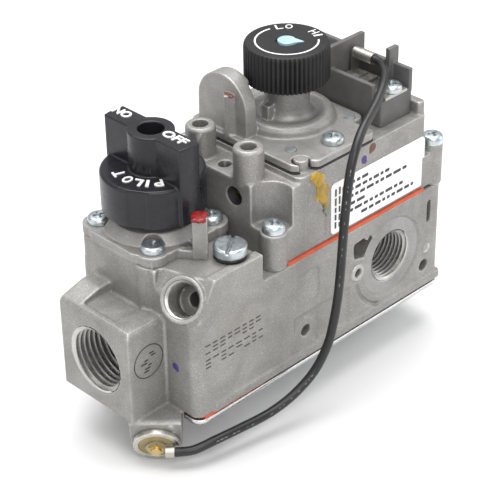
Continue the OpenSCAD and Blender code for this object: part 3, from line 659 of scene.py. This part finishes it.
def needle_shade():
    """Painted shade: a black bevel in the mouth of the pilot needle's bore, standing in for its shadow.
    """
    bm = bmesh.new()
    ring = [(2.86, 0.15), (2.88, 2.1), (1.0, 2.1), (0.95, 1.7), (2.4, 0.6), (2.86, 0.15)]
    lathe(bm, ring, 40, (46.9, 17.4, 54.6), (1, 0, 0))
    bmesh.ops.remove_doubles(bm, verts=bm.verts, dist=1e-6)
    place(from_bmesh("needle_shade", bm, True, 40), ROOT, "bore_shadow_black")


needle_shade()


# ------------------------------------------------------------------ screws
def screw_mesh(r, h, length):
    """Pan head with a cross recess, head underside at 0, in millimetres."""
    shoulder = [(r * (1 - 0.32 * (1 - math.cos(t))), h * (0.45 + 0.5 * math.sin(t)))
                for t in [math.pi / 2 * k / 6 for k in range(7)]]
    profile = [(0, -length), (1.3, -length), (1.75, -length + 0.5), (1.75, 0), (r - 0.15, 0), (r, 0.15)]
    profile += shoulder + [(r * 0.35, h), (0, h * 1.02)]
    bm = bmesh.new()
    lathe(bm, profile, 36, ORIGIN)
    head = from_bmesh("head", bm)
    cutter = bmesh.new()
    for turn in (0, 90):
        a = math.radians(turn)
        c, s = math.cos(a), math.sin(a)
        corners = []
        for wide, half, z in ((r * 0.30, r * 0.09, h - 1.35), (r * 0.56, r * 0.13, h + 0.3)):
            corners.append([cutter.verts.new(at(*(ORIGIN + Vector((x * c - y * s, x * s + y * c, z)))))
                            for x, y in ((-wide, -half), (wide, -half), (wide, half), (-wide, half))])
        low, high = corners
        cutter.faces.new(low[::-1])
        cutter.faces.new(high)
        for k in range(4):
            cutter.faces.new((low[k], low[(k + 1) % 4], high[(k + 1) % 4], high[k]))
    tool = from_bmesh("tool", cutter, False)
    SCENE.collection.objects.link(tool)
    cut = head.modifiers.new("recess", "BOOLEAN")
    cut.operation = "DIFFERENCE"
    cut.solver = "EXACT"
    cut.use_self = True
    cut.object = tool
    out = baked(head, "screw")
    bpy.data.objects.remove(tool)
    me = out.data
    bpy.data.objects.remove(out)
    return me


def screws(name, mesh, places, stands_for, flip=False):
    """One piece of heads and shanks, each cross turned its own way."""
    bm = bmesh.new()
    for i, p in enumerate(places):
        start = len(bm.verts)
        bm.from_mesh(mesh)
        bm.verts.ensure_lookup_table()
        turn = Matrix.Rotation(math.radians(23 + 47 * i), 3, "Z")
        if flip:
            turn = Matrix.Rotation(math.pi, 3, "X") @ turn
        for v in bm.verts[start:]:
            v.co = at(*p) + turn @ v.co
    place(from_bmesh(name, bm, True, 38), ROOT, "zinc_screw", stands_for)


def corners(cx, cy, pitch, z):
    return [(cx + i * pitch, cy + j * pitch, z) for i in (-1, 1) for j in (-1, 1)]


LONG = screw_mesh(3.45, 2.2, 8)
SHORT = screw_mesh(3.0, 1.8, 6)
TALL = screw_mesh(3.45, 2.9, 8)
screws("cock_cover_heads", LONG, corners(*COCK, 11.6, 47.2), stands_for="cock_cover_screws")
screws("bonnet_heads", LONG, [(77, 6.4, 65), (91, 44, 65), (67.8, 44.2, 65)], stands_for="bonnet_screws")
screws("terminal_heads", LONG, [(104.4, 8, 71.3), (104.4, 32.6, 71.3)], stands_for="terminal_screws")
screws("casting_heads", TALL, [(49.6, 4, 47.4), (119, 2.9, 49.6), (119, 45, 49.6), (52.8, 44, 40)],
       stands_for="head_screws")
screws("bottom_heads", SHORT, [(x, y, -2.2) for x in (18, 66, 117) for y in (4.6, 45)],
       stands_for="bottom_cover_screws", flip=True)

# ------------------------------------------------------------------ knob lettering
letters = [
    letter_at("OFF", (30.6, 23.7, KNOB_FACE_Z), (0, -1, 0), (1, 0, 0), 9.0, 3.3, 0.4),
    letter_at("ON", (30.4, 45.6, KNOB_FACE_Z), (0, 1, 0), (-1, 0, 0), 6.4, 3.3, 0.4),
]
letters += round_letters("PILOT", COCK, 10.4, (237, 220, 204, 185, 161), SKIRT_FACE_Z, 2.7, 3.6, 0.4)
place(laid(letters, "knob_letters"), "knob", "white_paint")


# ------------------------------------------------------------------ dial
def make_dial():
    """Ribbed dial: wavy outside, a flat top with a well, and a hollow underside."""
    cx, cy = REG
    z0, z1 = DIAL_BASE_Z, DIAL_TOP_Z
    radius, deep = DIAL_R, 0.62
    bm = bmesh.new()
    ribs, per = 56, 8
    count = ribs * per
    levels = [(z0, -0.5), (z0 + 0.5, 0.0), (z1 - 1.6, 0.0), (z1 - 0.7, -0.15), (z1 - 0.15, -0.55)]
    rings = []
    for z, inset in levels:
        ring = []
        for k in range(count):
            a = 2 * math.pi * k / count
            wave = 0.5 + 0.5 * math.cos(2 * math.pi * (k % per) / per)
            ease = 1.0 if z < z1 - 1.2 else (0.7 if z < z1 - 0.4 else 0.15)
            r = radius + inset - deep * ease * (1 - wave ** 0.6)
            ring.append(bm.verts.new(at(cx + r * math.cos(a), cy + r * math.sin(a), z)))
        rings.append(ring)
    for lower, upper in zip(rings, rings[1:]):
        for k in range(count):
            n = (k + 1) % count
            bm.faces.new((lower[k], lower[n], upper[n], upper[k]))

    def circle(r, z):
        steps = [2 * math.pi * k / count for k in range(count)]
        return [bm.verts.new(at(cx + r * math.cos(a), cy + r * math.sin(a), z)) for a in steps]

    previous = rings[-1]
    for r, z in ((11.9, z1), (9.0, z1 - 0.02), (4.2, z1 - 0.02), (3.4, z1 - 0.1), (3.1, z1 - 0.6)):
        ring = circle(r, z)
        for k in range(count):
            n = (k + 1) % count
            bm.faces.new((previous[k], previous[n], ring[n], ring[k]))
        previous = ring
    bm.faces.new(previous)
    previous = rings[0]
    under = ((11.2, z0 + 0.1), (11.1, z1 - 3), (4.7, z1 - 3.1),
             (4.6, z0 + 0.2), (3.1, z0 + 0.2), (3.05, z1 - 3))
    for r, z in under:
        ring = circle(r, z)
        for k in range(count):
            n = (k + 1) % count
            bm.faces.new((previous[n], previous[k], ring[k], ring[n]))
        previous = ring
    bm.faces.new(previous[::-1])
    place(from_bmesh("ribbed_dial", bm, True, 40), "dial", "dial_black", "pressure_dial")


make_dial()


def arc_band(name, centre, radius, width, start, end, z0, z1, slot, body):
    """Thin raised band along an arc, from one angle to another in degrees."""
    steps = 90
    inner, outer = radius - width / 2, radius + width / 2
    bm = bmesh.new()
    rows = []
    for k in range(steps + 1):
        a = math.radians(start + (end - start) * k / steps)
        row = []
        for r, z in ((inner, z0), (inner, z1), (outer, z1), (outer, z0)):
            row.append(bm.verts.new(at(centre[0] + r * math.cos(a), centre[1] + r * math.sin(a), z)))
        rows.append(row)
    for a, b in zip(rows, rows[1:]):
        for j in range(4):
            bm.faces.new((a[j], a[(j + 1) % 4], b[(j + 1) % 4], b[j]))
    bm.faces.new(rows[0][::-1])
    bm.faces.new(rows[-1])
    place(from_bmesh(name, bm, True, 30), body, slot)


arc_band("dial_arc", REG, 9.4, 0.5, 76, 318, 89.9, 90.06, "white_paint", "dial")
dial_letters = round_letters("LO", REG, 9.6, (58, 40), PAINT_Z, 2.2, 2.8, 0.14, 0.0)
dial_letters += round_letters("HI", REG, 9.9, (-10, -25), PAINT_Z, 2.2, 2.8, 0.14, 0.0)
place(laid(dial_letters, "dial_letters"), "dial", "white_paint")


def pointer_insert():
    """Pale disc with a pointed nose."""
    bm = bmesh.new()
    nose = math.radians(-58)
    outline = []
    for k in range(60):
        a = nose + math.radians(32) + math.radians(296) * k / 59
        outline.append((2.75 * math.cos(a), 2.75 * math.sin(a)))
    outline.append((5.2 * math.cos(nose), 5.2 * math.sin(nose)))
    rings = []
    for scale, z in ((1.0, 89.5), (1.0, 90.25), (0.93, 90.38), (0.6, 90.42)):
        rings.append([bm.verts.new(at(REG[0] + x * scale, REG[1] + y * scale, z)) for x, y in outline])
    n = len(outline)
    for lower, upper in zip(rings, rings[1:]):
        for k in range(n):
            bm.faces.new((lower[k], lower[(k + 1) % n], upper[(k + 1) % n], upper[k]))
    bm.faces.new(rings[-1])
    bm.faces.new(rings[0][::-1])
    place(from_bmesh("pointer_insert", bm, True, 40), "dial", "dial_insert", "dial_pointer")


pointer_insert()


# ------------------------------------------------------------------ label
def make_label():
    """Paper label, with rows and columns of plain bars for its print."""
    bm = bmesh.new()
    rounded_plate(bm, 70.6, 112.9, 37.5, 54.9, 1.7, LABEL_Y, 0.97)
    place(from_bmesh("maker_label", bm, True, 30), ROOT, "label_paper")
    rng = random.Random(7)
    bm = bmesh.new()
    rows = ((51.6, 79.0, 88.0), (49.3, 79.0, 96.5), (47.0, 79.0, 104.5),
            (44.4, 79.0, 86.0), (42.1, 79.0, 103.0), (39.6, 84.0, 108.0))
    for z, x0, x1 in rows:
        x = x0
        while x < x1 - 0.6:
            word = rng.uniform(1.2, 3.6)
            rounded_plate(bm, x, min(x + word, x1), z, z + 1.05, 0.3, *INK_Y, 3)
            x += word + 0.75
    for x in (72.2, 73.9, 75.4):
        z = 39.2
        while z < 52.5:
            tall = rng.uniform(1.2, 3.0)
            rounded_plate(bm, x, x + 0.75, z, min(z + tall, 53.2), 0.2, *INK_Y, 3)
            z += tall + 0.6
    place(from_bmesh("label_bars", bm, False), ROOT, "ink")


make_label()


def ink_marks():
    """Printed batch marks, as generic dashes."""
    rng = random.Random(11)
    bm = bmesh.new()
    for z, x0, x1 in ((21.6, 17.6, 38.0), (16.6, 17.6, 39.4)):
        x = x0
        while x < x1:
            wide = rng.uniform(1.7, 2.4)
            for level in (0.0, 1.3, 2.6):
                if rng.random() < 0.8:
                    rounded_plate(bm, x, x + wide, z + level, z + level + 0.45, 0.2, -0.045, 0.03, 2)
            x += wide + 0.9
    place(from_bmesh("batch_dashes", bm, False), ROOT, "ink")


ink_marks()

# ------------------------------------------------------------------ ink and paint
# Each spot's name, slot, voxel size, smoothing passes and lumps
SPOTS = (
    ("blue_dot", "purple_ink", 0.12, 2, [
        ((13.95, 8.9, 15.1), (0.16, 1.4, 1.2)), ((13.95, 8.3, 14.3), (0.14, 0.8, 0.8))]),
    ("purple_dot", "purple_ink", 0.12, 2, [
        ((85.0, 0.98, 57.6), (1.3, 0.09, 1.5)), ((85.6, 0.98, 56.7), (0.8, 0.08, 0.8))]),
    ("brown_dot", "brown_ink", 0.12, 2, [
        ((88.7, 0.98, 60.2), (1.6, 0.09, 1.6)), ((88.0, 0.98, 59.2), (0.9, 0.08, 0.8))]),
    ("yellow_seal", "yellow_paint", 0.22, 4, [
        ((63.8, 1.0, 60.4), (2.3, 0.5, 1.6)), ((65.6, 0.95, 58.6), (2.3, 0.5, 2.3)),
        ((66.4, 0.95, 55.6), (2.1, 0.45, 2.5)), ((68.2, 0.95, 54.2), (1.8, 0.4, 2.0)),
        ((67.6, 0.95, 52.0), (1.9, 0.45, 2.0)), ((68.4, 0.98, 49.6), (1.5, 0.35, 1.7)),
        ((65.0, 1.0, 53.2), (1.3, 0.3, 1.5))]),
    ("green_seal", "green_paint", 0.2, 3, [
        ((68.8, 1.0, 47.6), (1.2, 0.3, 1.5)), ((69.2, 1.0, 45.9), (0.8, 0.25, 1.1))]),
    ("red_tip_cock", "red_paint", 0.2, 3, [
        ((28.9, 12.9, 57.75), (2.7, 2.6, 0.4)), ((27.3, 11.5, 57.3), (1.1, 1.1, 0.7)),
        ((28.4, 10.9, 57.2), (1.0, 0.9, 0.9)), ((26.4, 12.6, 57.4), (0.9, 0.9, 0.7))]),
    ("red_tip_dial", "brown_ink", 0.2, 3, [
        ((60.4, 31.6, 77.98), (2.2, 2.2, 0.28)), ((59.2, 30.4, 77.8), (0.9, 0.9, 0.5))]),
)
for name, slot, voxel, smooth, lumps in SPOTS:
    place(blob(name, lumps, voxel, smooth), ROOT, slot)

# ------------------------------------------------------------------ materials of the CAD nodes
for sub in frame["record"]["subparts"]:
    give(NODES[sub["node"]], sub["material_slot"])
    for p in NODES[sub["node"]].data.polygons:
        p.use_smooth = True


# ------------------------------------------------------------------ studio
def studio():
    low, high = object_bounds()
    bm = bmesh.new()
    bmesh.ops.create_grid(bm, x_segments=2, y_segments=2, size=2.5)
    floor = from_bmesh("floor", bm, False)
    floor.location = (0.06, 0, low[2] - 0.0002)
    SCENE.collection.objects.link(floor)
    s = Shader("floor_white")
    tone = s.mix(s.ramp(s.noise(3, 2), 0.3, 0.7), (0.70, 0.70, 0.70), (0.72, 0.72, 0.72))
    floor.data.materials.append(s.finish(tone, 0.6, 0.0, Specular_IOR_Level=0.2))
    floor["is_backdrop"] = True
    world = bpy.data.worlds.new("studio")
    world.use_nodes = True
    world.node_tree.nodes["Background"].inputs["Color"].default_value = (1, 1, 1, 1)
    world.node_tree.nodes["Background"].inputs["Strength"].default_value = 0.6
    SCENE.world = world
    aim = at(60, 25, 30)
    # Name, position and size in metres, and watts
    for name, place_at, size, power in (
        ("key", (-0.45, -0.85, 0.85), 0.8, 7.0),
        ("top", (0.15, 0.15, 1.1), 1.0, 17.0),
        ("right", (0.95, -0.65, 0.45), 0.7, 3.0),
        ("left", (-0.9, 0.35, 0.5), 0.6, 1.5),
    ):
        data = bpy.data.lights.new(name, "AREA")
        data.size = size
        data.energy = power
        light = bpy.data.objects.new(name, data)
        light.location = place_at
        light.rotation_euler = (aim - Vector(place_at)).to_track_quat("-Z", "Y").to_euler()
        SCENE.collection.objects.link(light)
    SCENE.view_settings.view_transform = "Standard"


studio()
